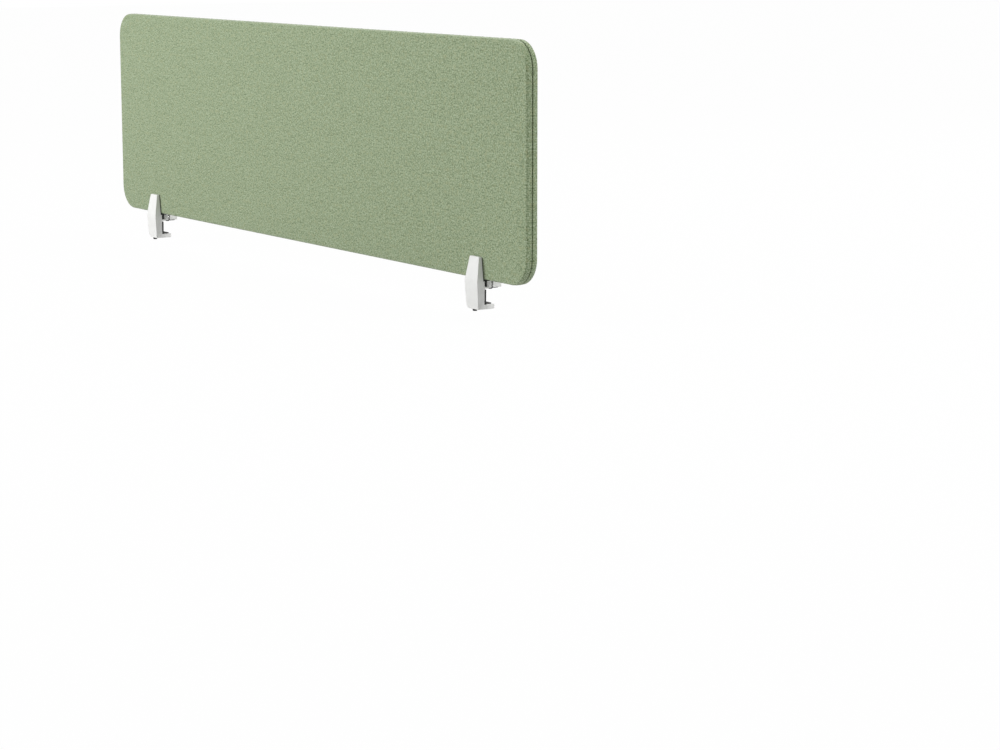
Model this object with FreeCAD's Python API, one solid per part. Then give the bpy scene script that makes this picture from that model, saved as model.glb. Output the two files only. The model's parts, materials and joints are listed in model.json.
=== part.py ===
import FreeCAD, Part
import math
import os

from FreeCAD import Vector

# A fabric-covered privacy panel that two screw clamps hold on the rear edge of a desk.
# Millimetres. z = 0 is the desktop's upper face, y = 0 its rear edge, +Y points at the user,
# and x = 0 is the middle of the left clamp.

# Panel
panel_length = 1600.0
panel_height = 425.0
panel_raise = 17.0            # the panel's lower edge above the desktop
corner_radius = 50.0
core_thickness = 16.0
wadding_thickness = 3.0
fabric_thickness = 1.0
edge_rounding = 3.2           # outer rounding where each face turns into the edge
groove_width = 4.4            # seam groove all round the core's edge
groove_depth = 9.0
spline_recess = 1.8           # the edge strip lies this far under the fabric's outer face

# Desk and rubber parts
desk_thickness = 25.0
edge_pad_thickness = 4.0
desk_pad_thickness = 2.0
liner_thickness = 2.0
lower_pad_thickness = 2.0

# Outer jaw
left_inset = 170.0            # panel's end to clamp's middle
right_inset = 154.0
finger_rise = 41.0            # the fingers stand this far above the panel's lower edge
half_width_top = 15.0
half_width_widest = 21.0
half_width_bottom_left = 18.3
half_width_bottom_right = 20.0
widest_height = 12.0
outline_blend = 60.0          # radius where the outline turns at its widest
finger_corner_radius = 2.0
left_corner_radius = 9.0      # the outer jaw's lower left corner is well rounded,
right_corner_radius = 1.5     # and its lower right one is nearly square
jaw_step = 2.7                # the jaw is this much thicker beside the desk
outer_depth_top = 5.5         # depths are from the face behind the panel's liner
outer_depth_widest = 13.0
outer_depth_bottom = 10.4
bulge_height = 14.5
bulge_blend = 40.0            # radius where the front turns at its deepest
rim_rounding = 0.8            # all round the painted jaws' visible faces
shortest_rim_edge = 1.0       # shorter edges follow by tangency
ledge_thickness = 3.0         # the ledge that carries the drop legs
ledge_reach = 7.0
web_half_width = 15.0
web_setback = 5.3             # the web stops this far short of the panel's back
outer_leg_reach = 12.0        # how far the outer liner runs in under the panel
drop_leg_thickness = 3.0
liner_inset = 0.8             # rubber stops short of the painted outline

# Inner jaw
inner_inset = 0.6             # the inner jaw is this much narrower each side
inner_depth_top = 5.0
inner_depth_base = 14.3
inner_bulge_rise = 4.0        # its deepest point above the outer jaw's
inner_foot_reach = 0.9        # how far the inner jaw's foot runs in under the panel
inner_shoulder_radius = 3.0
foot_corner_radius = 1.5

# Pads under the clamp
pad_recess = 1.0
front_pad_width = 4.8
front_pad_overhang = 1.7      # past the web's end
front_pad_tongue = 1.6        # width of the tongue let into the web
front_pad_margin = 2.0
rear_pad_half_width = 7.0
rear_pad_margin = 3.0
lower_pad_half_width = 12.0
lower_pad_start = 1.3
lower_pad_margin = 3.0

# Lower jaw
foot_thickness = 8.0
foot_reach = 18.5
foot_tip_radius = 3.0
foot_left_radius = 4.0
slide_half_width = 14.0
slide_block_height = 15.0
pocket_skin = 1.8             # left in front of the slide block
clamp_axis_setback = 4.3      # the clamp screw's axis behind the pocket's front wall
jaw_travel_up = 10.0
jaw_travel_down = 10.0

# Screws, inserts and pins
thread_radius = 2.5
head_radius = 4.1
head_height = 4.0
head_chamfer = 0.5
tip_chamfer = 0.6
socket_across_flats = 4.0
socket_depth = 2.4
clamp_screw_length = 45.0
grip_screw_length = 30.0
insert_wall = 1.0
insert_length = 10.0
insert_groove = 0.5           # depth of the groove round an insert's middle
insert_groove_width = 2.0
guide_pin_radius = 2.0
guide_pin_spacing = 20.0
guide_pin_length = 26.0
guide_pin_depth = 10.0        # the part of it that is pressed into the web

# Clearances
thread_clearance = 0.08
hole_clearance = 0.3
pin_clearance = 0.08
slide_clearance = 0.3
soft_gap = 0.3                # soft parts of different bodies stay this far apart
end_clearance = 1.0           # room past a screw's or a pin's tip

# Derived places
panel_thickness = core_thickness + 2 * (wadding_thickness + fabric_thickness)
desk_side_face = -edge_pad_thickness
jaw_inner_face = desk_side_face - jaw_step
panel_front = jaw_inner_face + liner_thickness
panel_back = panel_front + panel_thickness
web_end = panel_back - web_setback
panel_middle = panel_front + panel_thickness / 2
panel_left = -left_inset
panel_right = panel_left + panel_length
panel_bottom = panel_raise
panel_top = panel_bottom + panel_height

finger_top = panel_bottom + finger_rise
foot_bottom = -(desk_thickness + lower_pad_thickness + foot_thickness)
foot_top = foot_bottom + foot_thickness
base_bottom = desk_pad_thickness
ledge_top = base_bottom + ledge_thickness
web_top = panel_bottom - liner_thickness
inner_foot_front = panel_back - inner_foot_reach
inner_pad_face = panel_back + soft_gap
inner_finger_face = inner_pad_face + liner_thickness
inner_back = inner_finger_face + inner_depth_base
front_pad_end = web_end + front_pad_overhang
front_pad_start = front_pad_end - front_pad_width

jaw_bottom_front = jaw_inner_face - outer_depth_bottom
pocket_front = jaw_bottom_front + pocket_skin
block_front = pocket_front + slide_clearance
block_back = desk_side_face - slide_clearance
block_top = foot_bottom + slide_block_height
pocket_top = block_top + jaw_travel_up + slide_clearance
clamp_axis_y = pocket_front + clamp_axis_setback
clamp_tip = foot_bottom + clamp_screw_length
grip_axis_z = (base_bottom + web_top) / 2
insert_radius = thread_radius + insert_wall
grip_seat = inner_back - head_height
grip_tip = grip_seat - grip_screw_length
guide_pin_start = web_end - guide_pin_depth
guide_pin_end = guide_pin_start + guide_pin_length

clamp_places = {"left": 0.0, "right": panel_length - left_inset - right_inset}


def block(x_low, x_high, y_low, y_high, z_low, z_high):
    return Part.makeBox(
        x_high - x_low, y_high - y_low, z_high - z_low, Vector(x_low, y_low, z_low))


def centred_block(half_width, y_low, y_high, z_low, z_high):
    return block(-half_width, half_width, y_low, y_high, z_low, z_high)


def rounded_face(corners):
    """A face from (point, radius) corners, each turned by a tangent arc."""
    starts, ends, arcs = [], [], []
    for i, (point, radius) in enumerate(corners):
        before = corners[i - 1][0].sub(point).normalize()
        after = corners[(i + 1) % len(corners)][0].sub(point).normalize()
        if radius == 0:
            starts.append(point)
            ends.append(point)
            arcs.append(None)
            continue
        half_turn = before.getAngle(after) / 2
        reach = radius / math.tan(half_turn)
        bisector = before.add(after).normalize()
        centre = point.add(bisector * (radius / math.sin(half_turn)))
        starts.append(point.add(before * reach))
        ends.append(point.add(after * reach))
        arcs.append(Part.Arc(starts[-1], centre.sub(bisector * radius), ends[-1]).toShape())
    edges = []
    for i, arc in enumerate(arcs):
        if arc:
            edges.append(arc)
        edges.append(Part.makeLine(ends[i], starts[(i + 1) % len(corners)]))
    return Part.Face(Part.Wire(edges))


def panel_slab(inset, y_low, y_high):
    """The panel's rounded outline, moved in by inset, between two planes across its thickness."""
    radius = corner_radius - inset
    left, right = panel_left + inset, panel_right - inset
    bottom, top = panel_bottom + inset, panel_top - inset
    corners = [(left, bottom), (right, bottom), (right, top), (left, top)]
    face = rounded_face([(Vector(x, y_low, z), radius) for x, z in corners])
    return face.extrude(Vector(0, y_high - y_low, 0))


def round_rim(solid, y, radius):
    """Round the edges of a slab that lie in the plane at y."""
    rim = [e for e in solid.Edges
           if abs(e.BoundBox.YMin - y) < 1e-6 and abs(e.BoundBox.YMax - y) < 1e-6]
    return solid.makeFillet(radius, rim)


def jaw_outline(inset, y_low, y_high):
    """The outer jaw's outline from the front: narrow at the top, widest by the desktop."""
    top = finger_top - inset
    widest = half_width_widest - inset
    narrow = half_width_top - inset
    corners = [(narrow, top, finger_corner_radius),
               (widest, widest_height, outline_blend),
               (half_width_bottom_right - inset, foot_bottom, right_corner_radius),
               (inset - half_width_bottom_left, foot_bottom, left_corner_radius),
               (-widest, widest_height, outline_blend),
               (-narrow, top, finger_corner_radius)]
    face = rounded_face([(Vector(x, y_low, z), radius) for x, z, radius in corners])
    return face.extrude(Vector(0, y_high - y_low, 0))


def inner_outline(inset, y_low, y_high):
    """The inner jaw's outline: a finger that ends just above a narrower foot."""
    widest = half_width_widest - inset
    narrow = half_width_top - inset
    foot = web_half_width - inset
    finger_bottom = panel_bottom + inset
    half = [(narrow, finger_top - inset, finger_corner_radius),
            (widest, finger_bottom, inner_shoulder_radius),
            (foot, finger_bottom, 0), (foot, base_bottom, foot_corner_radius)]
    right = [(Vector(x, y_low, z), radius) for x, z, radius in half]
    left = [(Vector(-x, y_low, z), radius) for x, z, radius in reversed(half)]
    return rounded_face(right + left).extrude(Vector(0, y_high - y_low, 0))


def side_profile(corners):
    """A solid as wide as the clamp from (y, z, radius) corners of its side view."""
    face = rounded_face([(Vector(-half_width_widest, y, z), r) for y, z, r in corners])
    return face.extrude(Vector(2 * half_width_widest, 0, 0))


def soften_rim(solid, beyond):
    """Round the outline of the painted face that lies beyond a plane, not the bends inside it."""
    rim = []
    for e in solid.Edges:
        box = e.BoundBox
        bend = (box.ZLength < rim_rounding / 10 and box.ZMin > foot_bottom + rim_rounding
                and box.ZMax < finger_top - rim_rounding and box.ZMin != base_bottom)
        if beyond(box) and e.Length > shortest_rim_edge and not bend:
            rim.append(e)
    return solid.makeFillet(rim_rounding, rim)


def hexagon(radius, centre, normal_is_y):
    points = []
    for i in range(6):
        a, b = radius * math.cos(i * math.pi / 3), radius * math.sin(i * math.pi / 3)
        offset = Vector(a, 0, b) if normal_is_y else Vector(a, b, 0)
        points.append(centre.add(offset))
    return Part.Face(Part.makePolygon(points + points[:1]))


def cap_screw(seat, axis, length):
    """A socket cap screw whose head lies behind seat and whose shank runs along axis."""
    back = Vector(axis).multiply(-1)
    mouth = seat.add(back * head_height)
    rim = head_radius - head_chamfer
    head = Part.makeCylinder(head_radius, head_height - head_chamfer, seat, back)
    crown = Part.makeCone(head_radius, rim, head_chamfer,
                          seat.add(back * (head_height - head_chamfer)), back)
    shank_radius = thread_radius - thread_clearance
    shank = Part.makeCylinder(shank_radius, length - tip_chamfer, seat, axis)
    tip = Part.makeCone(shank_radius, shank_radius - tip_chamfer, tip_chamfer,
                        seat.add(Vector(axis) * (length - tip_chamfer)), axis)
    corner = socket_across_flats / math.sqrt(3)
    socket = hexagon(corner, mouth, abs(axis.y) > 0.5).extrude(Vector(axis) * socket_depth)
    return head.fuse([crown, shank, tip]).cut(socket).removeSplitter()


def threaded_insert(start, axis):
    """A brass insert with a plain minor bore and a groove round its middle."""
    body = Part.makeCylinder(insert_radius, insert_length, start, axis)
    bore = Part.makeCylinder(thread_radius, insert_length, start, axis)
    groove_start = start.add(Vector(axis) * ((insert_length - insert_groove_width) / 2))
    ring = Part.makeCylinder(insert_radius, insert_groove_width, groove_start, axis)
    floor = Part.makeCylinder(insert_radius - insert_groove, insert_groove_width,
                              groove_start, axis)
    return body.cut(ring.cut(floor)).cut(bore)


up = Vector(0, 0, 1)
inwards = Vector(0, 1, 0)
outwards = Vector(0, -1, 0)
clamp_seat = Vector(0, clamp_axis_y, foot_bottom)
clamp_insert_start = Vector(0, clamp_axis_y, pocket_top)
grip_seat_point = Vector(0, grip_seat, grip_axis_z)
grip_insert_start = Vector(0, web_end, grip_axis_z)


# Panel pieces
def core_board():
    inside = panel_middle - core_thickness / 2
    board = panel_slab(fabric_thickness, inside, inside + core_thickness)
    low, high = panel_middle - groove_width / 2, panel_middle + groove_width / 2
    rim = panel_slab(0, low, high)
    return board.cut(rim.cut(panel_slab(fabric_thickness + groove_depth, low, high)))


def wadding(face, inner):
    low, high = min(face, inner), max(face, inner)
    return round_rim(panel_slab(fabric_thickness, low, high), face,
                     edge_rounding - fabric_thickness)


def cover(face, direction):
    """Fabric over one face and half the edge, tucked into the groove along its side."""
    groove_side = panel_middle - direction * groove_width / 2
    low, high = min(face, groove_side), max(face, groove_side)
    outer = round_rim(panel_slab(0, low, high), face, edge_rounding)
    inner_face = face + direction * fabric_thickness
    low, high = min(inner_face, groove_side), max(inner_face, groove_side)
    filling = round_rim(panel_slab(fabric_thickness, low, high), inner_face,
                        edge_rounding - fabric_thickness)
    tuck_side = groove_side + direction * fabric_thickness
    low, high = min(tuck_side, groove_side), max(tuck_side, groove_side)
    tuck = panel_slab(0, low, high).cut(
        panel_slab(fabric_thickness + groove_depth, low, high))
    return outer.cut(filling).fuse(tuck).removeSplitter()


def edge_spline():
    low = panel_middle - groove_width / 2 + fabric_thickness
    high = panel_middle + groove_width / 2 - fabric_thickness
    return panel_slab(spline_recess, low, high).cut(
        panel_slab(fabric_thickness + groove_depth, low, high))


# Clamp pieces, about x = 0
def outer_jaw():
    side = [(jaw_inner_face - outer_depth_top, finger_top, 0),
            (jaw_inner_face, finger_top, 0),
            (jaw_inner_face, web_top, 0),
            (desk_side_face, web_top, 0),
            (desk_side_face, foot_bottom, 0),
            (jaw_bottom_front, foot_bottom, 0),
            (jaw_inner_face - outer_depth_widest, bulge_height, bulge_blend)]
    shell = side_profile(side).common(
        jaw_outline(0, jaw_inner_face - outer_depth_widest, desk_side_face))
    shell = soften_rim(shell, lambda box: box.YMax < jaw_inner_face - rim_rounding)
    ledge = centred_block(half_width_widest - liner_inset, desk_side_face, ledge_reach,
                          base_bottom, ledge_top)
    ledge = ledge.makeFillet(ledge_thickness / 2, [e for e in ledge.Edges
                                                   if e.BoundBox.ZLength > ledge_thickness / 2
                                                   and e.CenterOfMass.y > 0])
    web = centred_block(web_half_width, desk_side_face, web_end, base_bottom, web_top)
    heel = block(slide_half_width + slide_clearance, half_width_widest,
                 desk_side_face, 0, foot_bottom, foot_top).common(
                     jaw_outline(0, desk_side_face, 0))
    jaw = shell.fuse([ledge, web, heel]).removeSplitter()
    pocket = centred_block(slide_half_width + slide_clearance, pocket_front, desk_side_face,
                           foot_bottom, pocket_top)
    insert_seat = Part.makeCylinder(insert_radius, insert_length, clamp_insert_start, up)
    tip_room = Part.makeCylinder(
        thread_radius + hole_clearance,
        clamp_tip + jaw_travel_up + end_clearance - pocket_top, clamp_insert_start, up)
    grip_seat_hole = Part.makeCylinder(insert_radius, insert_length, grip_insert_start, outwards)
    grip_room = Part.makeCylinder(thread_radius + hole_clearance,
                                  web_end - grip_tip + end_clearance, grip_insert_start, outwards)
    return jaw.cut([pocket, insert_seat, tip_room, grip_seat_hole, grip_room,
                    front_desk_pad(), guide_pins()])


def outer_liner():
    """Rubber on the finger, a leg under the panel and a drop leg each side of the web."""
    pad = centred_block(half_width_widest, jaw_inner_face, panel_front, web_top, finger_top)
    leg = centred_block(half_width_widest, jaw_inner_face, panel_front + outer_leg_reach,
                        web_top, panel_bottom)
    drop = centred_block(half_width_widest, -drop_leg_thickness / 2, drop_leg_thickness / 2,
                         ledge_top, web_top)
    drop = drop.cut(centred_block(web_half_width, -drop_leg_thickness, drop_leg_thickness,
                                  ledge_top, web_top))
    outline = jaw_outline(liner_inset, jaw_inner_face, panel_front + outer_leg_reach)
    return pad.fuse([leg, drop]).common(outline).removeSplitter()


def edge_pad():
    """Rubber against the desk's edge, slotted so that the lower jaw's foot can pass."""
    pad = jaw_outline(liner_inset, desk_side_face, 0).common(
        centred_block(half_width_widest, desk_side_face, 0, foot_top, 0))
    slot = centred_block(slide_half_width + slide_clearance, desk_side_face, 0,
                         foot_top, foot_top + jaw_travel_up + slide_clearance)
    return pad.cut(slot)


def front_desk_pad():
    """A rubber strip under the web's end, with a tongue let into the web."""
    strip = centred_block(web_half_width, front_pad_start, front_pad_end, 0, base_bottom)
    tongue_start = (front_pad_start + web_end - front_pad_tongue) / 2
    tongue = centred_block(web_half_width - front_pad_margin, tongue_start,
                           tongue_start + front_pad_tongue, base_bottom,
                           base_bottom + pad_recess)
    return strip.fuse(tongue).removeSplitter()


def rear_desk_pad():
    return centred_block(rear_pad_half_width, inner_foot_front + rear_pad_margin,
                         inner_back - rear_pad_margin, 0, base_bottom + pad_recess)


def guide_pins():
    """Two pins from the web that keep the inner jaw straight."""
    pins = []
    for x in (-guide_pin_spacing / 2, guide_pin_spacing / 2):
        start = Vector(x, guide_pin_start, grip_axis_z)
        pins.append(Part.makeCylinder(guide_pin_radius, guide_pin_length, start, inwards))
    return Part.makeCompound(pins)


def inner_jaw():
    side = [(inner_finger_face, finger_top, 0),
            (inner_finger_face + inner_depth_top, finger_top, 0),
            (inner_back, bulge_height + inner_bulge_rise, bulge_blend),
            (inner_back, base_bottom, 0),
            (inner_foot_front, base_bottom, 0),
            (inner_foot_front, web_top, 0),
            (inner_finger_face, web_top, 0)]
    jaw = side_profile(side).common(
        inner_outline(inner_inset, inner_foot_front, inner_back))
    jaw = soften_rim(jaw, lambda box: box.YMin > inner_finger_face + rim_rounding)
    shank_hole = Part.makeCylinder(thread_radius + hole_clearance, inner_back - inner_foot_front,
                                   Vector(0, inner_back, grip_axis_z), outwards)
    head_hole = Part.makeCylinder(head_radius + hole_clearance, head_height,
                                  Vector(0, inner_back, grip_axis_z), outwards)
    pin_holes = []
    for pin in guide_pins().Solids:
        start = Vector(pin.CenterOfMass.x, inner_foot_front, grip_axis_z)
        pin_holes.append(Part.makeCylinder(
            guide_pin_radius + pin_clearance,
            guide_pin_end + end_clearance - inner_foot_front, start, inwards))
    return jaw.cut([shank_hole, head_hole, rear_desk_pad()] + pin_holes)


def inner_liner():
    pad = centred_block(half_width_widest, inner_pad_face, inner_finger_face,
                        web_top, finger_top)
    leg = centred_block(half_width_widest, inner_foot_front, inner_finger_face,
                        web_top, panel_bottom - soft_gap)
    outline = inner_outline(inner_inset + liner_inset, inner_foot_front, inner_finger_face)
    return pad.fuse(leg).common(outline).removeSplitter()


def lower_jaw():
    """A slide block inside the outer jaw and a foot that reaches under the desktop."""
    side_block = centred_block(slide_half_width, block_front, block_back, foot_bottom, block_top)
    neck = centred_block(slide_half_width, block_back, soft_gap, foot_bottom, foot_top)
    front_view = [(-slide_half_width, foot_bottom, foot_left_radius),
                  (half_width_bottom_right, foot_bottom, 0),
                  (half_width_bottom_right, foot_top, 0), (-slide_half_width, foot_top, 0)]
    top_view = [(-slide_half_width, soft_gap, 0), (half_width_bottom_right, soft_gap, 0),
                (half_width_bottom_right, foot_reach, foot_tip_radius),
                (-slide_half_width, foot_reach, foot_tip_radius)]
    foot = rounded_face([(Vector(x, soft_gap, z), r) for x, z, r in front_view])
    foot = foot.extrude(Vector(0, foot_reach - soft_gap, 0))
    plan = rounded_face([(Vector(x, y, foot_bottom), r) for x, y, r in top_view])
    foot = foot.common(plan.extrude(Vector(0, 0, foot_thickness)))
    underside = [e for e in foot.Edges if e.BoundBox.ZMax < foot_bottom + soft_gap
                 and e.BoundBox.YMax > foot_reach - soft_gap]
    foot = foot.makeFillet(rim_rounding, underside)
    jaw = side_block.fuse([neck, foot]).removeSplitter()
    hole = Part.makeCylinder(thread_radius + hole_clearance, slide_block_height, clamp_seat, up)
    return jaw.cut([hole, lower_pad()])


def lower_pad():
    return centred_block(lower_pad_half_width, lower_pad_start, foot_reach - lower_pad_margin,
                         foot_top - pad_recess, foot_top + lower_pad_thickness)


panel_nodes = {
    "core_board": core_board(),
    "front_wadding": wadding(panel_front + fabric_thickness,
                             panel_front + fabric_thickness + wadding_thickness),
    "back_wadding": wadding(panel_back - fabric_thickness,
                            panel_back - fabric_thickness - wadding_thickness),
    "front_cover": cover(panel_front, 1),
    "back_cover": cover(panel_back, -1),
    "edge_spline": edge_spline(),
}
clamp_nodes = {
    "outer_jaw": outer_jaw(),
    "outer_liner": outer_liner(),
    "edge_pad": edge_pad(),
    "front_desk_pad": front_desk_pad(),
    "rear_desk_pad": rear_desk_pad(),
    "inner_jaw": inner_jaw(),
    "inner_liner": inner_liner(),
    "grip_screw": cap_screw(grip_seat_point, outwards, grip_screw_length),
    "grip_insert": threaded_insert(grip_insert_start, outwards),
    "guide_pins": guide_pins(),
    "lower_jaw": lower_jaw(),
    "lower_pad": lower_pad(),
    "clamp_screw": cap_screw(clamp_seat, up, clamp_screw_length),
    "clamp_insert": threaded_insert(clamp_insert_start, up),
}

os.makedirs("parts", exist_ok=True)
for name, shape in panel_nodes.items():
    shape.exportStep("parts/" + name + ".step")
for side, place in clamp_places.items():
    for name, shape in clamp_nodes.items():
        moved = shape.copy()
        moved.translate(Vector(place, 0, 0))
        moved.exportStep("parts/" + side + "_" + name + ".step")
for name, shape in list(panel_nodes.items()) + list(clamp_nodes.items()):
    print(name, "solids", len(shape.Solids), "volume", round(shape.Volume, 1),
          "valid", shape.isValid())
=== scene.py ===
import json
import math

import bmesh
import bpy
from mathutils import Matrix, Vector
from mathutils.kdtree import KDTree


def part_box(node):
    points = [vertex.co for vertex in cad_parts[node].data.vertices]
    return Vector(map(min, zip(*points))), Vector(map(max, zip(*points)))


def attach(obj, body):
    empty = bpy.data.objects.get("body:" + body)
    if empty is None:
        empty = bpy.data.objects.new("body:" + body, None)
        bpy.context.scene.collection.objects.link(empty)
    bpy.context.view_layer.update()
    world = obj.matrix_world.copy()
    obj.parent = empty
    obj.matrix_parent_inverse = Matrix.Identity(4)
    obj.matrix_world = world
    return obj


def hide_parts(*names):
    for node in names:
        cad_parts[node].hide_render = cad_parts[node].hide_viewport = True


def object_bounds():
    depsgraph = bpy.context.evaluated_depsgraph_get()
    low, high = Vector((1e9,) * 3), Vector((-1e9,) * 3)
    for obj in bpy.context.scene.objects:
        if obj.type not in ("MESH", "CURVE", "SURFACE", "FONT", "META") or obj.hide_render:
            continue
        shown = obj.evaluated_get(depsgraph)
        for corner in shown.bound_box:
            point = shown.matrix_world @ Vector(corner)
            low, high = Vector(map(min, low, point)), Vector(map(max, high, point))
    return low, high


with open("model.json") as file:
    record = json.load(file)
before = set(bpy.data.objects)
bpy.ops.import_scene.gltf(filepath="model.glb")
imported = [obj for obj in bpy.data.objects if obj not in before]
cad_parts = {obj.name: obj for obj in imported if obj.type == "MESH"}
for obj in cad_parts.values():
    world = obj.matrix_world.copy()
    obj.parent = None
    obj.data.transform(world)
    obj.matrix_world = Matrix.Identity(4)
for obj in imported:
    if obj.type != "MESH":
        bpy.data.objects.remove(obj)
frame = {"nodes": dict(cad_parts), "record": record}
cadBox = [list(c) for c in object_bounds()]
scene = bpy.context.scene
print("frame loaded,", len(frame["nodes"]), "nodes")

# Camera
camera = {
    "place": (5.1309, -2.5051, 0.6392),
    "turn": 56.544,           # degrees from looking along +Y
    "tilt": 9.808,            # degrees downwards
    "lens": 94.40,            # millimetres
    "sensor": 36.0,
    "clip": (0.05, 60.0),
}


def addObject(name, data):
    made = bpy.data.objects.new(name, data)
    scene.collection.objects.link(made)
    return made


def makeCamera():
    data = bpy.data.cameras.new("camera")
    data.lens, data.sensor_width = camera["lens"], camera["sensor"]
    data.clip_start, data.clip_end = camera["clip"]
    viewer = addObject("camera", data)
    viewer.location = camera["place"]
    viewer.rotation_euler = (math.radians(90.0 - camera["tilt"]), 0.0, math.radians(camera["turn"]))
    scene.camera = viewer


makeCamera()
print("camera placed")

# Studio
studio = {
    "floorDrop": 0.011,       # floor under the lowest screw head, room for the jaws to open
    "floorSize": 30.0,
    "floorGrey": 0.6,
    "floorWash": 0.985,       # share of the floor's shade lost in the white background
    "worldLight": 0.34,
    "lamps": {
        "key": {"place": (-0.90, -3.7, 2.35), "size": 2.6, "watts": 171.0},
        "back": {"place": (0.0, 3.6, 2.4), "size": 2.6, "watts": 80.0},
        "side": {"place": (3.2, 1.3, 3.0), "size": 1.6, "watts": 86.0},
    },
}


def grey(level):
    return (level, level, level, 1.0)


def seenDirectly(tree):
    # 1 for what the camera sees straight on, in gloss or through glass
    path = tree.nodes.new("ShaderNodeLightPath")
    last = path.outputs["Is Camera Ray"]
    for name in ("Is Glossy Ray", "Is Transmission Ray"):
        either = tree.nodes.new("ShaderNodeMath")
        either.operation = "MAXIMUM"
        tree.links.new(last, either.inputs[0])
        tree.links.new(path.outputs[name], either.inputs[1])
        last = either.outputs[0]
    return last


def makeFloor():
    low, half = cadBox[0][2] - studio["floorDrop"], studio["floorSize"] / 2
    mesh = bpy.data.meshes.new("floor")
    corners = [(-half, -half, low), (half, -half, low), (half, half, low), (-half, half, low)]
    mesh.from_pydata(corners, [], [(0, 1, 2, 3)])
    floor = addObject("floor", mesh)
    paper = bpy.data.materials.new("floorPaper")
    paper.use_nodes = True
    tree = paper.node_tree
    tree.nodes.clear()
    out = tree.nodes.new("ShaderNodeOutputMaterial")
    mix = tree.nodes.new("ShaderNodeMixShader")
    matt = tree.nodes.new("ShaderNodeBsdfDiffuse")
    matt.inputs["Color"].default_value = grey(studio["floorGrey"])
    glow = tree.nodes.new("ShaderNodeEmission")
    share = tree.nodes.new("ShaderNodeMath")
    share.operation = "MULTIPLY"
    share.inputs[1].default_value = studio["floorWash"]
    tree.links.new(seenDirectly(tree), share.inputs[0])
    tree.links.new(share.outputs[0], mix.inputs[0])
    tree.links.new(matt.outputs[0], mix.inputs[1])
    tree.links.new(glow.outputs[0], mix.inputs[2])
    tree.links.new(mix.outputs[0], out.inputs["Surface"])
    mesh.materials.append(paper)


def makeWorld():
    world = bpy.data.worlds.new("studio")
    scene.world = world
    world.use_nodes = True
    tree = world.node_tree
    tree.nodes.clear()
    out = tree.nodes.new("ShaderNodeOutputWorld")
    mix = tree.nodes.new("ShaderNodeMixShader")
    soft = tree.nodes.new("ShaderNodeBackground")
    soft.inputs["Strength"].default_value = studio["worldLight"]
    white = tree.nodes.new("ShaderNodeBackground")
    for background in (soft, white):
        background.inputs["Color"].default_value = grey(1.0)
    tree.links.new(seenDirectly(tree), mix.inputs[0])
    tree.links.new(soft.outputs[0], mix.inputs[1])
    tree.links.new(white.outputs[0], mix.inputs[2])
    tree.links.new(mix.outputs[0], out.inputs["Surface"])


def makeLamps():
    middle = (Vector(cadBox[0]) + Vector(cadBox[1])) / 2
    for name, lamp in studio["lamps"].items():
        data = bpy.data.lights.new(name, "AREA")
        data.shape, data.size, data.energy = "DISK", lamp["size"], lamp["watts"]
        holder = addObject(name, data)
        holder.location = lamp["place"]
        holder.rotation_euler = (middle - Vector(lamp["place"])).to_track_quat("-Z", "Y").to_euler()


makeFloor()
makeWorld()
makeLamps()
scene.view_settings.view_transform = "Standard"
print("studio ready")


# Shared by the materials
def fromScreen(r, g, b):
    def straight(c):
        c /= 255.0
        return c / 12.92 if c <= 0.04045 else ((c + 0.055) / 1.055) ** 2.4
    return (straight(r), straight(g), straight(b), 1.0)


def freshMaterial(name):
    made = bpy.data.materials.new(name)
    made.use_nodes = True
    return made, made.node_tree, made.node_tree.nodes["Principled BSDF"]


def addNode(tree, kind, inputs=(), **settings):
    node = tree.nodes.new(kind)
    for key, value in settings.items():
        setattr(node, key, value)
    for key, value in dict(inputs).items():
        if isinstance(value, bpy.types.NodeSocket):
            tree.links.new(value, node.inputs[key])
        else:
            node.inputs[key].default_value = value
    return node


def maths(tree, operation, a, b=None, c=None):
    inputs = {i: v for i, v in enumerate((a, b, c)) if v is not None}
    return addNode(tree, "ShaderNodeMath", inputs, operation=operation).outputs[0]


def blendColours(tree, factor, a, b, kind="MIX"):
    node = addNode(tree, "ShaderNodeMix", data_type="RGBA", blend_type=kind)
    for index, value in ((0, factor), (6, a), (7, b)):
        if isinstance(value, bpy.types.NodeSocket):
            tree.links.new(value, node.inputs[index])
        else:
            node.inputs[index].default_value = value
    return node.outputs[2]


def ramp(tree, factor, stops):
    node = addNode(tree, "ShaderNodeValToRGB", {"Fac": factor})
    bar = node.color_ramp
    while len(bar.elements) < len(stops):
        bar.elements.new(0.5)
    for element, (at, colour) in zip(bar.elements, stops):
        element.position, element.color = at, colour
    return node.outputs[0]


def noiseOn(tree, where, scale, detail, roughness):
    inputs = {"Vector": where, "Scale": scale, "Detail": detail, "Roughness": roughness}
    return addNode(tree, "ShaderNodeTexNoise", inputs).outputs["Fac"]


def noiseAt(tree, scale, detail=2.0, roughness=0.5):
    where = addNode(tree, "ShaderNodeTexCoord").outputs["Object"]
    return noiseOn(tree, where, scale, detail, roughness)


def roughen(tree, skin, height, strength, distance):
    inputs = {"Height": height, "Strength": strength, "Distance": distance}
    tree.links.new(addNode(tree, "ShaderNodeBump", inputs).outputs[0], skin.inputs["Normal"])


def choose(tree, factor, a, b):
    # a where the factor is 0, b where it is 1
    mix = addNode(tree, "ShaderNodeMix", data_type="FLOAT")
    for index, value in ((0, factor), (2, a), (3, b)):
        tree.links.new(value, mix.inputs[index])
    return mix.outputs[0]


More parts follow.
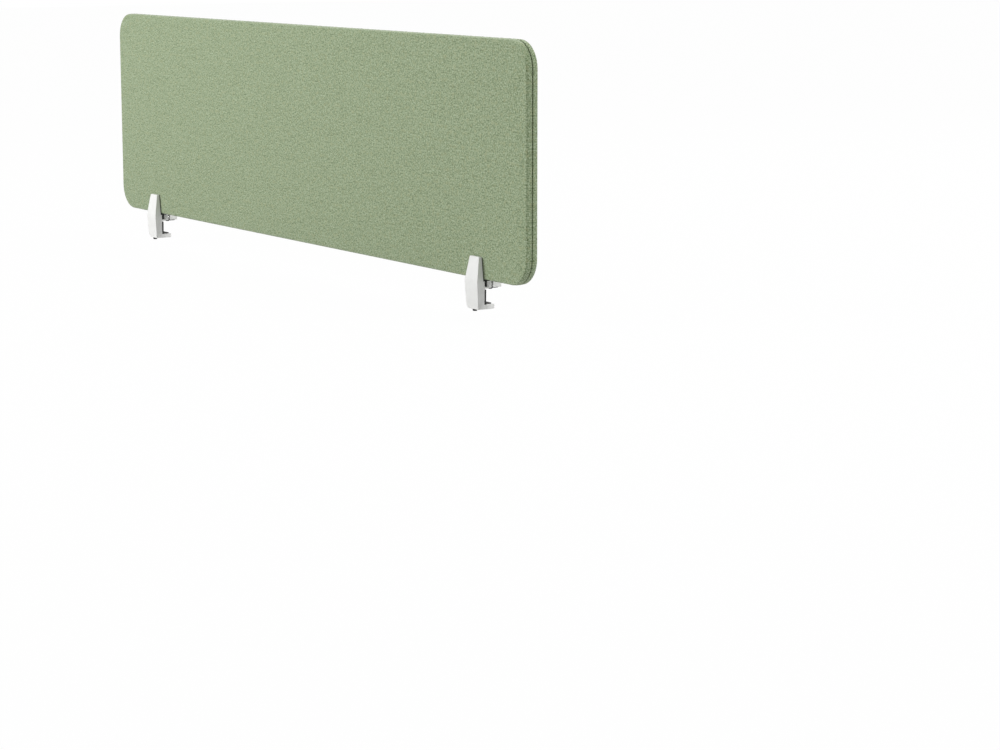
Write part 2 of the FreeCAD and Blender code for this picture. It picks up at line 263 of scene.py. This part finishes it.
# Melange upholstery cloth
cloth = {
    "threadPitch": 0.0011,
    "slubLength": 0.009,      # a fleck's length along its thread
    "slubShare": 0.65,        # of the tone that comes from single threads
    "tuftShare": 1.15,        # of the tone that comes from tufts of fibre
    "toneShift": 0.40,
    "toneStops": (0.30, 0.50, 0.70),       # of dark, middle and light
    "middle": fromScreen(145, 162, 127),
    "light": fromScreen(182, 196, 164),
    "dark": fromScreen(90, 109, 66),
    "warm": fromScreen(166, 169, 125),
    "mostWarm": 0.45,
    "warmStops": (0.50, 0.72),
    "tuftsPerMetre": 340.0,
    "patchesPerMetre": 120.0,
    "weaveHeight": 0.00022,
    "valleyShade": 0.72,      # painted shade between the threads
    "valleyTop": 0.55,        # from this height up the thread has its full colour, without painted shade
    "sheen": 0.30,
    "sheenRoughness": 0.5,
    "specular": 0.2,
    "roughness": 0.93,
}
threadShift = {"weft": (7.31, 3.7), "warp": (5.17, 11.3)}   # keep one thread's flecks from its neighbour's


def makeCloth():
    made, tree, skin = freshMaterial("melangeCloth")
    along = addNode(tree, "ShaderNodeUVMap", uv_map="cut").outputs[0]
    parts = addNode(tree, "ShaderNodeSeparateXYZ", {0: along})
    u = maths(tree, "DIVIDE", parts.outputs[0], cloth["threadPitch"])
    v = maths(tree, "DIVIDE", parts.outputs[1], cloth["threadPitch"])
    column, row = maths(tree, "FLOOR", u), maths(tree, "FLOOR", v)
    slub = cloth["threadPitch"] / cloth["slubLength"]

    # each thread has its own flecks, drawn out along it
    def flecks(x, y, z):
        where = addNode(tree, "ShaderNodeCombineXYZ", {0: x, 1: y, 2: z})
        return noiseOn(tree, where.outputs[0], 1.0, 2.0, 0.6)

    step, layer = threadShift["weft"]
    weft = flecks(maths(tree, "MULTIPLY", u, slub), maths(tree, "MULTIPLY", row, step), layer)
    step, layer = threadShift["warp"]
    warp = flecks(maths(tree, "MULTIPLY", column, step), maths(tree, "MULTIPLY", v, slub), layer)

    # plain weave: warp and weft take turns on top
    def arch(across):
        return maths(tree, "SINE", maths(tree, "MULTIPLY", maths(tree, "FRACT", across), math.pi))

    parity = maths(tree, "FLOORED_MODULO", maths(tree, "ADD", column, row), 2.0)
    archU, archV = arch(u), arch(v)
    weftTop = maths(tree, "MULTIPLY", archV, maths(tree, "MULTIPLY_ADD", archU, 0.5, 0.5))
    warpTop = maths(tree, "MULTIPLY", archU, maths(tree, "MULTIPLY_ADD", archV, 0.5, 0.5))
    height = choose(tree, parity, weftTop, warpTop)
    fleck = choose(tree, parity, weft, warp)

    # tufts of fibre, larger than a thread, that give the cloth its mottle
    tufts = noiseOn(tree, along, cloth["tuftsPerMetre"], 3.0, 0.65)
    threads = maths(tree, "MULTIPLY", fleck, cloth["slubShare"])
    tone = maths(tree, "MULTIPLY_ADD", tufts, cloth["tuftShare"], threads)
    tone = maths(tree, "SUBTRACT", tone, cloth["toneShift"])
    shades = (cloth["dark"], cloth["middle"], cloth["light"])
    colour = ramp(tree, tone, list(zip(cloth["toneStops"], shades)))
    patches = noiseOn(tree, along, cloth["patchesPerMetre"], 2.0, 0.6)
    warmth = ramp(tree, patches, list(zip(cloth["warmStops"], (grey(0.0), grey(cloth["mostWarm"])))))
    colour = blendColours(tree, warmth, colour, cloth["warm"])
    # painted shade: the colour is darkened where the weave dips between the threads
    paintedWeaveShade = ramp(tree, height, [(0.0, grey(cloth["valleyShade"])), (cloth["valleyTop"], grey(1.0))])
    colour = blendColours(tree, 1.0, colour, paintedWeaveShade, "MULTIPLY")
    tree.links.new(colour, skin.inputs["Base Color"])
    roughen(tree, skin, height, 0.8, cloth["weaveHeight"])
    skin.inputs["Roughness"].default_value = cloth["roughness"]
    skin.inputs["Sheen Weight"].default_value = cloth["sheen"]
    skin.inputs["Sheen Roughness"].default_value = cloth["sheenRoughness"]
    skin.inputs["Specular IOR Level"].default_value = cloth["specular"]
    return made


clothMaterial = makeCloth()
print("cloth material ready")

# Upholstery: the two halves that wrap the board and meet in the seam
upholstery = {
    "cornerRadius": 0.050,
    "edgeRounding": 0.0042,
    "lipRounding": 0.0013,
    "lipOverhang": 0.0003,    # past its own half, over the tape in the seam
    "weltRise": 0.0007,       # the cloth swells towards the seam
    "tuckDepth": 0.0045,      # how far the cloth runs down into the seam
    "step": 0.005,
    "rimSplit": 3,            # rim points for each step of the face
    "cornerSteps": 16,
    "roundingSteps": 6,
    "lipSteps": 4,
    "edgeStep": 0.0011,
    "clothThickness": 0.0009,
    "puckers": ((0.0122, 0.00030), (0.0197, 0.00022)),   # (spacing, depth) where the seam pulls
    "puckerReach": 0.006,
}

settling = {
    "step": 0.0125,
    "cornerSteps": 6,
    "clampHalfWidth": 0.024,  # the cloth is held flat under the clamps
    "clampHeight": 0.064,
    "swell": 0.0009,          # most that the wadding pushes the cloth out
    "fadeIn": 0.022,          # from the edge's rounding to the full swell
    "frames": 20,
    "nearest": 5,             # settled points that each point of the face follows
    "nearestSoftness": 0.001,
    "cloth": {
        "quality": 5,
        "mass": 0.15,
        "tension_stiffness": 40.0,
        "compression_stiffness": 40.0,
        "shear_stiffness": 20.0,
        "bending_stiffness": 2.0,
        "use_pressure": True,
        "uniform_pressure_force": 4.0,
    },
}


def spread(start, end, step):
    count = max(1, round(abs(end - start) / step))
    return [start + (end - start) * i / count for i in range(count + 1)]


def outlineColumns(lo, hi, inset, sizes):
    # (x, how far the column stops short at both ends, outward direction at its top)
    r = upholstery["cornerRadius"] - inset
    left, right = lo[0] + inset + r, hi[0] - inset - r
    turns = sizes["cornerSteps"]

    def corner(middle, side, i):
        a = math.pi / 2 * i / turns
        return (middle + side * r * math.cos(a), r * (1 - math.sin(a)), (side * math.cos(a), math.sin(a)))

    columns = [corner(left, -1.0, i) for i in range(turns + 1)]
    columns += [(x, 0.0, (0.0, 1.0)) for x in spread(left, right, sizes["step"])[1:-1]]
    columns += [corner(right, 1.0, i) for i in reversed(range(turns + 1))]
    return columns


def edgeProfile(depth):
    # (inset from the outline, depth behind the face) from the face round to the seam and into it
    big, small = upholstery["edgeRounding"], upholstery["lipRounding"]
    low, over = upholstery["weltRise"], upholstery["lipOverhang"]
    profile = []
    for a in spread(0, math.pi / 2, math.pi / 2 / upholstery["roundingSteps"])[1:]:
        profile.append((low + (big - low) * (1 - math.sin(a)), big * (1 - math.cos(a))))
    flat = spread(big, depth - small, upholstery["edgeStep"])
    for i, back in enumerate(flat[1:], 1):
        profile.append((low * (0.5 + 0.5 * math.cos(math.pi * i / (len(flat) - 1))), back))
    for a in spread(0, math.pi / 2, math.pi / 2 / upholstery["lipSteps"])[1:]:
        profile.append((small * (1 - math.cos(a)), depth - small + (small + over) * math.sin(a)))
    profile += [(2 * small, depth + over * 0.3), (upholstery["tuckDepth"], depth)]
    return profile


def facingOf(node):
    # -1 for the front half, which lies on the -Y side of the panel's middle
    lo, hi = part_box(node)
    return -1.0 if (lo[1] + hi[1]) / 2 < panelMiddle else 1.0


def faceGrid(shape, node, sizes):
    # the flat of the face and the loop of points round it, each with its way outwards
    lo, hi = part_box(node)
    inset = upholstery["edgeRounding"]
    faceY = lo[1] if facingOf(node) < 0 else hi[1]
    columns = outlineColumns(lo, hi, inset, sizes)
    rows = round((hi[2] - lo[2]) / sizes["step"])
    grid = []
    for x, short, _ in columns:
        z0, z1 = lo[2] + inset + short, hi[2] - inset - short
        grid.append([shape.verts.new((x, faceY, z0 + (z1 - z0) * j / rows)) for j in range(rows + 1)])
    for a, b in zip(grid, grid[1:]):
        for j in range(rows):
            shape.faces.new((a[j], b[j], b[j + 1], a[j + 1]))
    last = len(columns) - 1
    loop = [(grid[i][0], (columns[i][2][0], -columns[i][2][1])) for i in range(last + 1)]
    loop += [(grid[last][j], (1.0, 0.0)) for j in range(1, rows)]
    loop += [(grid[i][rows], columns[i][2]) for i in range(last, -1, -1)]
    loop += [(grid[0][j], (-1.0, 0.0)) for j in range(rows - 1, 0, -1)]
    return faceY, [(Vector((v.co.x, v.co.z)), Vector(n), v) for v, n in loop]


def rimPoints(loop, split):
    # points on the outline with their way outwards, following the corner's circle between the loop's own
    inset = upholstery["edgeRounding"]
    inner = upholstery["cornerRadius"] - inset
    points = []
    for (a, n, _), (b, m, _) in zip(loop, loop[1:] + loop[:1]):
        for i in range(split):
            way = n.lerp(m, i / split).normalized()
            base = a.lerp(b, i / split) if (n - m).length < 1e-6 else (a - n * inner) + way * inner
            points.append((base + way * inset, way))
    return points


def puckerDepths(points):
    # how far the seam draws the edge in at every point, by the way along it
    total = sum((points[i][0] - points[i - 1][0]).length for i in range(len(points)))
    depths, along = [], 0.0
    for i, (here, _) in enumerate(points):
        depth = 0.0
        for spacing, deep in upholstery["puckers"]:
            turns = round(total / spacing)
            depth += deep * (0.5 - 0.5 * math.cos(2 * math.pi * turns * along / total))
        depths.append(depth)
        along += (points[(i + 1) % len(points)][0] - here).length
    return depths


def ringOf(shape, points, faceY, facing, inset, depth, pull=None):
    made = []
    for i, (base, way) in enumerate(points):
        at = base - way * (inset + (pull[i] if pull else 0.0))
        made.append(shape.verts.new((at.x, faceY - facing * depth, at.y)))
    return made


def band(shape, ring, following):
    for i in range(len(ring)):
        j = (i + 1) % len(ring)
        shape.faces.new((ring[i], ring[j], following[j], following[i]))


def stepDown(shape, coarse, fine, split):
    # joins a loop to one with more points
    for i in range(len(coarse)):
        some = [fine[(i * split + k) % len(fine)] for k in range(split + 1)]
        here, there = coarse[i], coarse[(i + 1) % len(coarse)]
        if split == 1:
            shape.faces.new((here, there, some[1], some[0]))
            continue
        shape.faces.new((here, some[1], some[0]))
        shape.faces.new([here, there] + some[split - 1:0:-1])
        shape.faces.new((there, some[split], some[split - 1]))


def shellMesh(name, node, sizes, split, walled):
    # walled: with the cloth's inner side; otherwise closed by a lid over the seam, for settling
    shape = bmesh.new()
    facing = facingOf(node)
    faceY, loop = faceGrid(shape, node, sizes)
    depth = abs(panelMiddle + facing * seamHalfGap - faceY)
    points = rimPoints(loop, split)
    depths = puckerDepths(points)
    big, tuck = upholstery["edgeRounding"], upholstery["tuckDepth"]
    profile = edgeProfile(depth) if walled else [(0.0, big), (0.0, depth), (tuck, depth)]
    cut = {v: (v.co.x, v.co.z) for v in shape.verts}
    lip = depth - upholstery["lipRounding"]
    seamAt = sum(math.dist(a, b) for a, b in zip(profile, profile[1:]) if a[1] < lip)
    travelled, before, ring = 0.0, (big, 0.0), None
    for inset, back in profile:
        travelled += math.dist((inset, back), before)
        before = (inset, back)
        toSeam = max(0.0, seamAt - travelled)
        fade = math.exp(-toSeam / upholstery["puckerReach"]) * min(1.0, travelled / seamAt) ** 2
        following = ringOf(shape, points, faceY, facing, inset, back, [d * fade for d in depths])
        for v, (base, way) in zip(following, points):
            spot = base + way * (travelled - big)
            cut[v] = (spot.x, spot.y)
        if ring is None:
            stepDown(shape, [v for _, _, v in loop], following, split)
        else:
            band(shape, ring, following)
        ring = following
    held = list(ring)
    if walled:
        t = upholstery["clothThickness"]
        mid = big - (big - t) / math.sqrt(2)
        for inset, back in ((tuck, depth - t), (t, depth - t), (t, big), (mid, mid), (big, t)):
            pull = depths if inset == tuck else None
            following = ringOf(shape, points, faceY, facing, inset, back, pull)
            for v, (base, _) in zip(following, points):
                cut[v] = (base.x, base.y)
            band(shape, ring, following)
            ring = following
    shape.faces.new(ring)
    bmesh.ops.recalc_face_normals(shape, faces=shape.faces)
    sheet = shape.loops.layers.uv.new("cut")
    for face in shape.faces:
        for corner in face.loops:
            corner[sheet].uv = cut[corner.vert]
        face.smooth = True
    shape.verts.index_update()
    heldAt = [v.index for v in held]
    mesh = bpy.data.meshes.new(name)
    shape.to_mesh(mesh)
    shape.free()
    return addObject(name, mesh), heldAt


def settleCloth(node):
    # pressure from the wadding, with the tucked edge and the cloth under the clamps held still
    pad, heldAt = shellMesh("settlingCloth", node, settling, 1, False)
    middles = [sum(c[0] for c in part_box(n)) / 2 for n in ("left_outer_jaw", "right_outer_jaw")]
    still = pad.vertex_groups.new(name="held")
    still.add(heldAt, 1.0, "REPLACE")
    for v in pad.data.vertices:
        beside = any(abs(v.co.x - m) < settling["clampHalfWidth"] for m in middles)
        if beside and v.co.z < settling["clampHeight"]:
            still.add([v.index], 1.0, "REPLACE")
    start = [v.co.copy() for v in pad.data.vertices]
    sim = pad.modifiers.new("cloth", "CLOTH")
    for key, value in settling["cloth"].items():
        setattr(sim.settings, key, value)
    sim.settings.vertex_group_mass = "held"
    sim.settings.effector_weights.gravity = 0.0
    sim.collision_settings.use_collision = False
    sim.point_cache.frame_start, sim.point_cache.frame_end = 1, settling["frames"]
    for frameNumber in range(1, settling["frames"] + 1):
        scene.frame_set(frameNumber)
    settled = pad.evaluated_get(bpy.context.evaluated_depsgraph_get()).data
    moves = [v.co - a for v, a in zip(settled.vertices, start)]
    scene.frame_set(1)
    bpy.data.objects.remove(pad)
    print("   settled, moved up to %.2f mm" % (1000 * max(m.length for m in moves)))
    tree = KDTree(len(start))
    for i, a in enumerate(start):
        tree.insert(a, i)
    tree.balance()
    most, facing = settling["swell"], facingOf(node)

    def swellAt(point):
        # how far the settled cloth lies outwards near here, levelling off at the most allowed
        total, weights = 0.0, 0.0
        for _, i, far in tree.find_n(point, settling["nearest"]):
            weight = 1.0 / (far + settling["nearestSoftness"]) ** 2
            total += moves[i].y * facing * weight
            weights += weight
        return facing * most * math.tanh(max(0.0, total / weights) / most)
    return swellAt


def insideEdge(point, lo, hi):
    # how far the point lies inside the panel's rounded outline
    r = upholstery["cornerRadius"]
    qx = abs(point.x - (lo[0] + hi[0]) / 2) - ((hi[0] - lo[0]) / 2 - r)
    qz = abs(point.z - (lo[2] + hi[2]) / 2) - ((hi[2] - lo[2]) / 2 - r)
    return r - math.hypot(max(qx, 0.0), max(qz, 0.0)) - min(max(qx, qz), 0.0)


def makeHalf(name, node):
    half, _ = shellMesh(name, node, upholstery, upholstery["rimSplit"], True)
    swellAt = settleCloth(node)
    lo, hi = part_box(node)
    faceY = half.data.vertices[0].co.y
    for v in half.data.vertices:
        if abs(v.co.y - faceY) < 1e-7:
            share = (insideEdge(v.co, lo, hi) - upholstery["edgeRounding"]) / settling["fadeIn"]
            share = min(1.0, max(0.0, share))
            v.co.y += swellAt(v.co) * share * share * (3.0 - 2.0 * share)
    half.data.materials.append(clothMaterial)
    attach(half, "root")
    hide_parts(node)


coreLo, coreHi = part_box("core_board")
panelMiddle = (coreLo[1] + coreHi[1]) / 2
splineLo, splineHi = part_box("edge_spline")
seamHalfGap = (splineHi[1] - splineLo[1]) / 2
makeHalf("front_upholstery", "front_cover")
makeHalf("back_upholstery", "back_cover")
print("upholstery ready")


# Geometry Nodes trees
def newTree(name, sizes):
    # sizes: {socket name: (socket type, value)}
    tree = bpy.data.node_groups.new(name, "GeometryNodeTree")
    tree.interface.new_socket("Geometry", in_out="INPUT", socket_type="NodeSocketGeometry")
    tree.interface.new_socket("Geometry", in_out="OUTPUT", socket_type="NodeSocketGeometry")
    for key, (kind, _) in sizes.items():
        tree.interface.new_socket(key, in_out="INPUT", socket_type=kind)
    return tree, tree.nodes.new("NodeGroupInput"), tree.nodes.new("NodeGroupOutput")


def finishTree(tree, given, out, last):
    whole = addNode(tree, "GeometryNodeRealizeInstances", {"Geometry": last})
    inputs = {"Geometry": whole.outputs[0], "Material": given.outputs["Material"]}
    painted = addNode(tree, "GeometryNodeSetMaterial", inputs)
    tree.links.new(painted.outputs[0], out.inputs["Geometry"])


def bakeNodes(name, tree, start, sizes):
    # runs the tree on an object and gives its result as a plain mesh
    holder = addObject(name, start)
    made = holder.modifiers.new(name, "NODES")
    made.node_group = tree
    identifiers = {i.name: i.identifier for i in tree.interface.items_tree if i.in_out == "INPUT"}
    for key, (_, value) in sizes.items():
        made[identifiers[key]] = value
    seen = holder.evaluated_get(bpy.context.evaluated_depsgraph_get())
    mesh = bpy.data.meshes.new_from_object(seen)
    holder.modifiers.remove(made)
    bpy.data.objects.remove(holder)
    return mesh


# Ladder stitches that draw the two halves together in the seam
stitches = {
    "spacing": 0.0061,
    "length": 0.0046,         # from cloth to cloth across the seam
    "thickness": 0.0010,
    "depth": 0.0009,          # middle of the thread under the outline
    "slant": 0.22,            # most that a stitch leans, in radians
    "seed": 7,
    "dark": fromScreen(92, 108, 68),
    "light": fromScreen(140, 156, 118),
    "fibresPerMetre": 2600.0,
    "fibreHeight": 0.0001,
    "roughness": 0.8,
    "sheen": 0.1,
}


def makeThread():
    made, tree, skin = freshMaterial("seamThread")
    fibres = noiseAt(tree, stitches["fibresPerMetre"], 3.0, 0.6)
    colour = ramp(tree, fibres, [(0.35, stitches["dark"]), (0.65, stitches["light"])])
    tree.links.new(colour, skin.inputs["Base Color"])
    roughen(tree, skin, fibres, 0.6, stitches["fibreHeight"])
    skin.inputs["Roughness"].default_value = stitches["roughness"]
    skin.inputs["Sheen Weight"].default_value = stitches["sheen"]
    return made


def seamLine():
    # a closed line round the panel, in the middle of its edge
    shape = bmesh.new()
    _, loop = faceGrid(shape, "front_cover", upholstery)
    shape.free()
    path = [base - way * stitches["depth"] for base, way in rimPoints(loop, 1)]
    line = bpy.data.meshes.new("seamLine")
    edges = [(i, (i + 1) % len(path)) for i in range(len(path))]
    line.from_pydata([(p.x, panelMiddle, p.y) for p in path], edges, [])
    return line


def stitchTree(sizes):
    # a small bead drawn out into a stitch, at even steps along the line, each with its own lean
    tree, given, out = newTree("ladderStitches", sizes)
    ask = given.outputs
    curve = addNode(tree, "GeometryNodeMeshToCurve", {"Mesh": ask["Geometry"]})
    steps = {"Curve": curve.outputs[0], "Length": ask["Spacing"]}
    spots = addNode(tree, "GeometryNodeCurveToPoints", steps, mode="LENGTH")
    bead = addNode(tree, "GeometryNodeMeshUVSphere", {"Segments": 8, "Rings": 6, "Radius": 0.5})
    across = {0: ask["Thickness"], 1: ask["Length"], 2: ask["Thickness"]}
    stretch = addNode(tree, "ShaderNodeCombineXYZ", across)
    drawn = {"Geometry": bead.outputs["Mesh"], "Scale": stretch.outputs[0]}
    stitch = addNode(tree, "GeometryNodeTransform", drawn)
    soft = addNode(tree, "GeometryNodeSetShadeSmooth", {"Geometry": stitch.outputs[0]})
    least = maths(tree, "MULTIPLY", ask["Slant"], -1.0)
    low = addNode(tree, "ShaderNodeCombineXYZ", {0: least, 2: least})
    high = addNode(tree, "ShaderNodeCombineXYZ", {0: ask["Slant"], 2: ask["Slant"]})
    limits = {0: low.outputs[0], 1: high.outputs[0], "Seed": ask["Seed"]}
    lean = addNode(tree, "FunctionNodeRandomValue", limits, data_type="FLOAT_VECTOR")
    placing = {"Points": spots.outputs[0], "Instance": soft.outputs[0], "Rotation": lean.outputs[0]}
    row = addNode(tree, "GeometryNodeInstanceOnPoints", placing)
    finishTree(tree, given, out, row.outputs[0])
    return tree


def makeStitches():
    sizes = {
        "Spacing": ("NodeSocketFloat", stitches["spacing"]),
        "Length": ("NodeSocketFloat", stitches["length"]),
        "Thickness": ("NodeSocketFloat", stitches["thickness"]),
        "Slant": ("NodeSocketFloat", stitches["slant"]),
        "Seed": ("NodeSocketInt", stitches["seed"]),
        "Material": ("NodeSocketMaterial", makeThread()),
    }
    seam = addObject("seam_stitches", bakeNodes("stitching", stitchTree(sizes), seamLine(), sizes))
    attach(seam, "root")
    print("   stitches:", len(seam.data.polygons), "faces")


makeStitches()
print("seam sewn")

# Paint, rubber and metal of the clamps, and what lies inside the panel
paint = {
    "low": (0.775, 0.775, 0.765, 1.0),
    "high": (0.815, 0.815, 0.805, 1.0),
    "patchesPerMetre": 60.0,
    "roughness": (0.37, 0.49),
    "grainsPerMetre": 1500.0,
    "grainHeight": 0.00004,
}
plain = {"patchStops": (0.3, 0.7), "roughnessSpread": 0.08, "height": 0.00003, "strength": 0.5}


def makePaint():
    made, tree, skin = freshMaterial("powderCoat")
    patch = noiseAt(tree, paint["patchesPerMetre"], 3.0)
    colour = ramp(tree, patch, [(0.3, paint["low"]), (0.7, paint["high"])])
    tree.links.new(colour, skin.inputs["Base Color"])
    grain = noiseAt(tree, paint["grainsPerMetre"], 2.0)
    low, high = paint["roughness"]
    tree.links.new(ramp(tree, grain, [(0.35, grey(low)), (0.65, grey(high))]), skin.inputs["Roughness"])
    roughen(tree, skin, grain, 0.6, paint["grainHeight"])
    return made


def makePlain(name, low, high, patchesPerMetre, roughness, metallic=0.0, height=plain["height"]):
    made, tree, skin = freshMaterial(name)
    patch = noiseAt(tree, patchesPerMetre, 4.0, 0.6)
    start, end = plain["patchStops"]
    tree.links.new(ramp(tree, patch, [(start, low), (end, high)]), skin.inputs["Base Color"])
    dull, bright = grey(roughness - plain["roughnessSpread"]), grey(roughness + plain["roughnessSpread"])
    tree.links.new(ramp(tree, patch, [(start, dull), (end, bright)]), skin.inputs["Roughness"])
    skin.inputs["Metallic"].default_value = metallic
    roughen(tree, skin, patch, plain["strength"], height)
    return made


boardColours = (0.34, 0.22, 0.11, 1.0), (0.62, 0.46, 0.28, 1.0)
brassColours = (0.62, 0.42, 0.16, 1.0), (0.75, 0.53, 0.22, 1.0)
# the seam tape's own dark green, deepened as painted shade for the shadow in the seam's groove
seamTapeAndShadeColours = fromScreen(36, 46, 20), fromScreen(60, 72, 36)
finishes = {
    "painted_zinc": makePaint(),
    "black_rubber": makePlain("rubber", grey(0.012), grey(0.022), 900.0, 0.75),
    "black_screw": makePlain("blackenedSteel", grey(0.018), grey(0.04), 700.0, 0.38, metallic=0.8),
    "steel_pin": makePlain("groundSteel", grey(0.50), grey(0.62), 800.0, 0.3, metallic=1.0),
    "brass": makePlain("brass", *brassColours, 500.0, 0.32, metallic=1.0),
    "board": makePlain("chipboard", *boardColours, 260.0, 0.85, height=0.0003),
    "wadding": makePlain("wadding", grey(0.70), grey(0.82), 400.0, 0.95, height=0.0004),
    "spline": makePlain("seamTapeAndShade", *seamTapeAndShadeColours, 900.0, 0.9, height=0.0002),
}


# Socket cap screws: rolled thread, knurled head with a hexagon socket
screws = {
    "threadPitch": 0.0008,
    "threadDepth": 0.00045,
    "threadRadius": 0.00246,
    "threadSides": 24,
    "ringsPerPitch": 8,
    "headRadius": 0.0041,
    "headHeight": 0.0040,
    "headChamfer": 0.0005,
    "knurlDepth": 0.00011,
    "knurlSides": 96,
    "knurlStart": 0.0003,     # plain rim above the knurling
    "knurlEnd": 0.0006,       # and at the head's outer end
    "knurlRunOut": 0.0001,
    "socketFlats": 0.0040,
    "socketDepth": 0.0024,
    "socketFlare": 1.1,
    "socketChamfer": 0.0002,
    "socketCone": 0.0004,     # how far the drill point runs on past the flats
    "tipChamfer": 0.0006,
    "tipTaper": 0.78,         # share of the radius left at the tip
}


def threadTree(sizes):
    tree, given, out = newTree("rolledThread", sizes)
    ask = given.outputs
    size = {"Side Segments": ask["Rings"], "Radius": ask["Radius"], "Depth": ask["Length"]}
    rod = addNode(tree, "GeometryNodeMeshCylinder", {"Vertices": screws["threadSides"], **size})
    here = addNode(tree, "GeometryNodeInputPosition").outputs[0]
    x, y, z = addNode(tree, "ShaderNodeSeparateXYZ", {0: here}).outputs
    turn = maths(tree, "DIVIDE", maths(tree, "ARCTAN2", y, x), 2 * math.pi)
    phase = maths(tree, "FRACT", maths(tree, "SUBTRACT", maths(tree, "DIVIDE", z, ask["Pitch"]), turn))
    ridge = maths(tree, "ABSOLUTE", maths(tree, "MULTIPLY_ADD", phase, 2.0, -1.0))
    groove = maths(tree, "MULTIPLY", ridge, maths(tree, "DIVIDE", ask["Depth"], ask["Radius"]))
    half = maths(tree, "MULTIPLY", ask["Length"], 0.5)
    fromTip = maths(tree, "SUBTRACT", half, z)
    narrowing = {"Value": fromTip, "From Min": 0.0, "From Max": ask["Chamfer"]}
    narrowing.update({"To Min": screws["tipTaper"], "To Max": 1.0})
    taper = addNode(tree, "ShaderNodeMapRange", narrowing)
    factor = maths(tree, "MULTIPLY", maths(tree, "SUBTRACT", 1.0, groove), taper.outputs[0])
    cut = {0: maths(tree, "MULTIPLY", x, factor), 1: maths(tree, "MULTIPLY", y, factor), 2: z}
    moved = addNode(tree, "ShaderNodeCombineXYZ", cut)
    threaded = {"Geometry": rod.outputs["Mesh"], "Position": moved.outputs[0]}
    threaded = addNode(tree, "GeometryNodeSetPosition", threaded)
    lift = addNode(tree, "ShaderNodeCombineXYZ", {2: half})
    stood = {"Geometry": threaded.outputs[0], "Translation": lift.outputs[0]}
    finishTree(tree, given, out, addNode(tree, "GeometryNodeTransform", stood).outputs[0])
    return tree


def screwHead(shape):
    # rings from the seat down and into the socket; the head lies below the seat, on -Z
    count = screws["knurlSides"]
    head, depth = screws["headHeight"], screws["socketDepth"]
    full, runOut = screws["headRadius"], screws["knurlRunOut"]
    rim = [full - screws["headChamfer"]] * count
    plainSide = [full - screws["knurlDepth"]] * count
    knurled = [full - (screws["knurlDepth"] if i % 2 else 0.0) for i in range(count)]
    angles = [2 * math.pi * i / count for i in range(count)]

    def hexagonal(scale):
        sixth = math.pi / 3
        radius = scale * screws["socketFlats"] / 2
        return [radius / math.cos((a + sixth / 2) % sixth - sixth / 2) for a in angles]

    top, bottom = screws["knurlStart"], screws["knurlEnd"]
    rings = [
        (0.0, rim), (-top, plainSide), (-top - runOut, knurled),
        (bottom + 2 * runOut - head, knurled), (bottom - head, plainSide), (-head, rim),
        (-head, hexagonal(screws["socketFlare"])),
        (screws["socketChamfer"] - head, hexagonal(1.0)), (depth - head, hexagonal(1.0)),
    ]
    loops = []
    for z, radii in rings:
        ring = [(r * math.cos(a), r * math.sin(a), z) for r, a in zip(radii, angles)]
        loops.append([shape.verts.new(spot) for spot in ring])
    for a, b in zip(loops, loops[1:]):
        band(shape, a, b)
    for loop, z in ((loops[0], 0.0), (loops[-1], depth - head + screws["socketCone"])):
        middle = shape.verts.new((0.0, 0.0, z))
        for i in range(count):
            shape.faces.new((loop[i], loop[(i + 1) % count], middle))


def makeScrew(name, node, body, axis):
    # axis: from the head towards the tip
    lo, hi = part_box(node)
    along = Vector(axis)
    k = [abs(c) for c in axis].index(1)
    length = hi[k] - lo[k] - screws["headHeight"]
    seat = Vector([(a + b) / 2 for a, b in zip(lo, hi)])
    seat[k] = lo[k] + screws["headHeight"] if along[k] > 0 else hi[k] - screws["headHeight"]
    rings = round(length / screws["threadPitch"] * screws["ringsPerPitch"])
    sizes = {
        "Radius": ("NodeSocketFloat", screws["threadRadius"]),
        "Depth": ("NodeSocketFloat", screws["threadDepth"]),
        "Pitch": ("NodeSocketFloat", screws["threadPitch"]),
        "Length": ("NodeSocketFloat", length),
        "Chamfer": ("NodeSocketFloat", screws["tipChamfer"]),
        "Rings": ("NodeSocketInt", rings),
        "Material": ("NodeSocketMaterial", finishes["black_screw"]),
    }
    shank = bakeNodes(name + "Thread", threadTree(sizes), bpy.data.meshes.new("blank"), sizes)
    shape = bmesh.new()
    screwHead(shape)
    shape.from_mesh(shank)
    bmesh.ops.recalc_face_normals(shape, faces=shape.faces)
    turned = Matrix.Translation(seat) @ along.to_track_quat("Z", "Y").to_matrix().to_4x4()
    bmesh.ops.transform(shape, matrix=turned, verts=shape.verts)
    mesh = bpy.data.meshes.new(name)
    shape.to_mesh(mesh)
    shape.free()
    mesh.materials.append(finishes["black_screw"])
    screw = addObject(name, mesh)
    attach(screw, body)
    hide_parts(node)


for side in ("left", "right"):
    makeScrew(side + "_clamp_cap_screw", side + "_clamp_screw", side + "_clamp_bolt", (0, 0, 1))
    makeScrew(side + "_grip_cap_screw", side + "_grip_screw", side + "_grip_bolt", (0, -1, 0))
print("screws ready")

slotOf = {row["node"]: row["material_slot"] for row in frame["record"]["subparts"]}
for name, piece in frame["nodes"].items():
    wanted = finishes.get(slotOf.get(name))
    if wanted is not None:
        for socket in piece.material_slots:
            socket.material = wanted
print("finishes ready")
